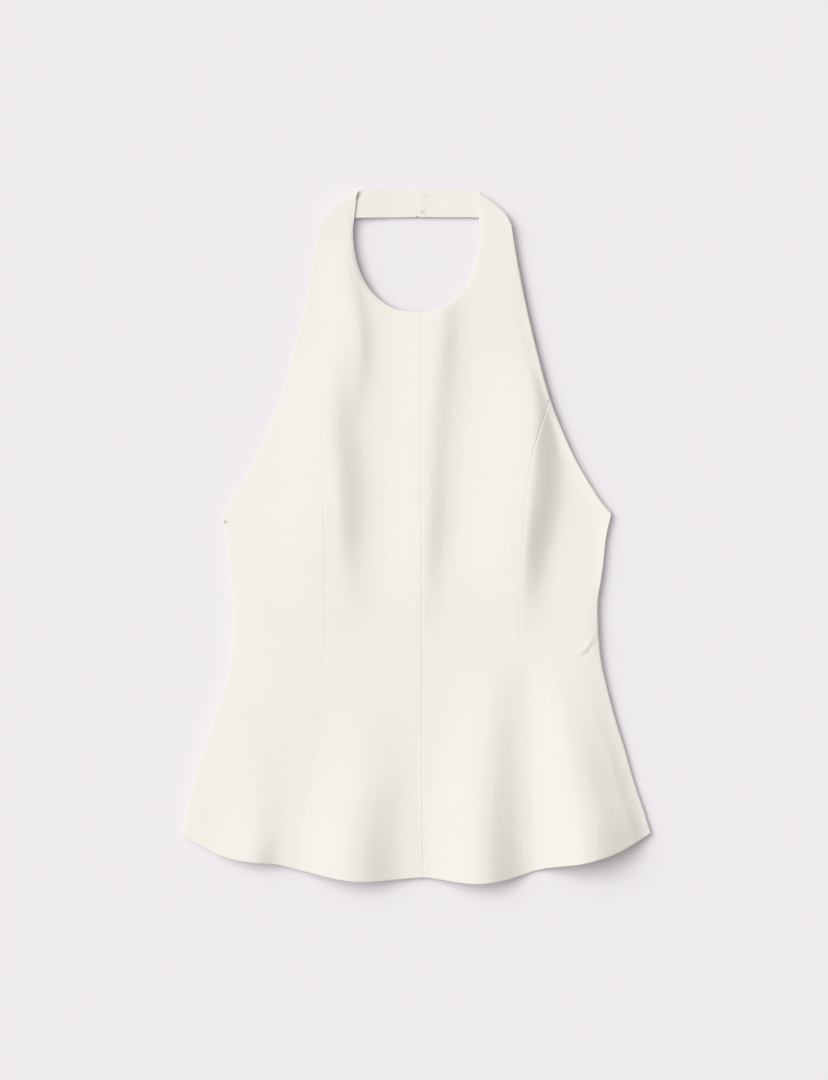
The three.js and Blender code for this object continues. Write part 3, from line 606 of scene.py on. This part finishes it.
def back_panel():
    """Outer face of the back, which lies on the surface and turns up to the side seams."""
    rows = steps(BACK_ROWS)
    right, left = (
        edge_points(lines[side]["side_seam"],
                    heights_up(CORNERS[side]["hem"], CORNERS[side]["back_top"], rows))
        for side in ("right", "left")
    )
    shares = bunched(steps(BACK_COLUMNS), BACK_EDGE_BUNCH)
    top = straight(right[-1], left[-1], shares)
    top[:, 1] -= BACK_DIP * 4 * shares * (1 - shares)
    flat = fill_edges(right, left, hem_points(right[0], left[0], shares), top, shares)
    x, y = flat[..., 0], flat[..., 1]
    distance = np.minimum(
        distance_to_edge(lines["right"]["side_seam"], x, y),
        distance_to_edge(lines["left"]["side_seam"], x, y),
    )
    height = (SIDE_SEAM_HEIGHT - BACK_RIM_GAP) * (1 - edge_turn(distance, BACK_TURN, 1))
    # the outer face looks down, so the columns run the other way round
    return np.stack([x, y, height], -1)[:, ::-1]


def neck_band(side):
    """Inner face of half of the neck band, which shows between the straps."""
    bend, end = bends[side], NAPE[side]
    sign = -1 if side == "right" else 1
    distance = TURN_LENGTH + BAND_SEAM + BAND_GAP
    drift = bend["strap"] * distance / (bend["strap"] @ bend["out"])
    shares = bunched(steps(BAND_COLUMNS), BAND_EDGE_BUNCH)
    start = settle(straight(bend["outer"], bend["inner"], shares) + drift, side)[:, :2]
    width = end["high"] - end["low"]
    low_gap = np.maximum(0, end["low_corner"] - shares * width)
    high_gap = np.maximum(0, end["high_corner"] - (1 - shares) * width)
    inset = end["low_corner"] - np.sqrt(end["low_corner"] ** 2 - low_gap ** 2)
    inset += end["high_corner"] - np.sqrt(end["high_corner"] ** 2 - high_gap ** 2)
    finish = np.stack([end["x"] + sign * inset, mix(end["low"], end["high"], shares)], -1)
    along = bunched(steps(BAND_ROWS), BAND_END_BUNCH)[:, None, None]
    flat = mix(start[None], finish[None], along)
    x, y = flat[..., 0], flat[..., 1]
    near_end = smoothstep(end["reach"] - np.abs(x - end["x"]), 0, end["reach"])
    height = BAND_FACE + end["lift"] * near_end
    beside_strap = np.clip(np.abs(np.abs(x) - SWELL_X) / SWELL_WIDTH, 0, 1)
    height = height + end["swell"] * 0.5 * (1 + np.cos(np.pi * beside_strap))
    for crease in NAPE_CREASES[side]:
        height = height + crease_height(crease, x, y)
    outward = np.stack([x, y, height], -1)
    return outward[::-1] if side == "right" else outward


pieces = {"top_back": (cloth_mesh("top_back", back_panel()), "back")}
for side in ("right", "left"):
    for name, outer in (
        ("front_centre", centre_front(side)),
        ("front_side", side_front(side)),
        ("neck_band", neck_band(side)),
    ):
        node = f"{name}_{side}"
        pieces[f"top_{node}"] = (cloth_mesh(f"top_{node}", outer), node)


# Finishes
def node_link(tree, source, output, target, socket):
    tree.links.new(source.outputs[output], target.inputs[socket])


def crepe_finish(name):
    """Matt ivory crepe with a fine, uneven grain."""
    finish = bpy.data.materials.new(name)
    finish.use_nodes = True
    tree = finish.node_tree
    shader = tree.nodes["Principled BSDF"]
    shader.inputs["Base Color"].default_value = (*IVORY, 1)
    shader.inputs["Roughness"].default_value = 0.62
    shader.inputs["Specular IOR Level"].default_value = 0.25
    shader.inputs["Sheen Weight"].default_value = 0.08
    shader.inputs["Sheen Roughness"].default_value = 0.5
    shader.inputs["Subsurface Weight"].default_value = 0.12
    shader.inputs["Subsurface Radius"].default_value = (0.004, 0.003, 0.0022)
    shader.inputs["Subsurface Scale"].default_value = 0.6
    place = tree.nodes.new("ShaderNodeTexCoord")
    grain = tree.nodes.new("ShaderNodeTexNoise")
    grain.inputs["Scale"].default_value = 1400
    grain.inputs["Detail"].default_value = 2
    bump = tree.nodes.new("ShaderNodeBump")
    bump.inputs["Strength"].default_value = 0.12
    bump.inputs["Distance"].default_value = 0.0002
    node_link(tree, place, "Object", grain, "Vector")
    node_link(tree, grain, "Fac", bump, "Height")
    node_link(tree, bump, "Normal", shader, "Normal")
    return finish


def plain_finish(name, colour, roughness, metallic=0.0):
    finish = bpy.data.materials.new(name)
    finish.use_nodes = True
    shader = finish.node_tree.nodes["Principled BSDF"]
    shader.inputs["Base Color"].default_value = (*colour, 1)
    shader.inputs["Roughness"].default_value = roughness
    shader.inputs["Metallic"].default_value = metallic
    return finish


crepe = crepe_finish("crepe")
enamel = plain_finish("pale_enamel", PALE_ENAMEL, 0.5)
grey_metal = plain_finish("slider_metal", SLIDER_GREY, 0.5, 0.2)

# Cut of each cloth piece: width and length in metres, and the area of the cut
CUTS = {
    "back": (0.490, 0.385, 0.151),
    "front_centre_right": (0.155, 0.745, 0.0757),
    "front_centre_left": (0.155, 0.745, 0.0750),
    "front_side_right": (0.150, 0.500, 0.0468),
    "front_side_left": (0.142, 0.500, 0.0394),
    "neck_band_right": (0.100, 0.029, 0.0019),
    "neck_band_left": (0.100, 0.029, 0.0019),
}

floor_mesh = bpy.data.meshes.new("floor")
floor_mesh.from_pydata(
    [
        (x * FLOOR_REACH / 1000, y * FLOOR_REACH / 1000, -FLOOR_DROP / 1000)
        for x, y in ((-1, -1), (1, -1), (1, 1), (-1, 1))
    ],
    [], [(0, 1, 2, 3)],
)
floor = bpy.data.objects.new("floor", floor_mesh)
bpy.context.scene.collection.objects.link(floor)
floor.data.materials.append(plain_finish("floor_paper", FLOOR_PAPER, 0.9))

for piece, node in pieces.values():
    piece.data.materials.append(crepe)
    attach(piece, "root")
    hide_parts(node)
    width, length, area = CUTS[node]

for node, finish in (
    ("nape_hook", enamel), ("nape_eye", enamel), ("side_zip_slider", grey_metal),
):
    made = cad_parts[node]
    made.data.materials.clear()
    made.data.materials.append(finish)

# Light: three broad soft suns from the upper left, and an even light from all round
world = bpy.data.worlds.new("studio")
bpy.context.scene.world = world
world.use_nodes = True
world.node_tree.nodes["Background"].inputs["Color"].default_value = (1, 1, 1, 1)
world.node_tree.nodes["Background"].inputs["Strength"].default_value = WORLD_STRENGTH


def sun(name, around, up, strength, width):
    data = bpy.data.lights.new(name, "SUN")
    data.energy = strength
    data.angle = math.radians(width)
    light = bpy.data.objects.new(name, data)
    light.rotation_euler = (0, math.pi / 2 - math.radians(up), math.radians(around))
    bpy.context.scene.collection.objects.link(light)


for name, (around, up, strength, width) in SUNS.items():
    sun(name, around, up, strength, width)

camera_data = bpy.data.cameras.new("camera")
camera = bpy.data.objects.new("camera", camera_data)
camera_data.lens = camera_data.sensor_width * CAMERA_HEIGHT / PICTURE_HEIGHT
camera_data.clip_end = 100
camera.location = (PICTURE_MIDDLE[0] / 1000, PICTURE_MIDDLE[1] / 1000, CAMERA_HEIGHT / 1000)
bpy.context.scene.collection.objects.link(camera)
bpy.context.scene.camera = camera
bpy.context.scene.view_settings.view_transform = "Khronos PBR Neutral"
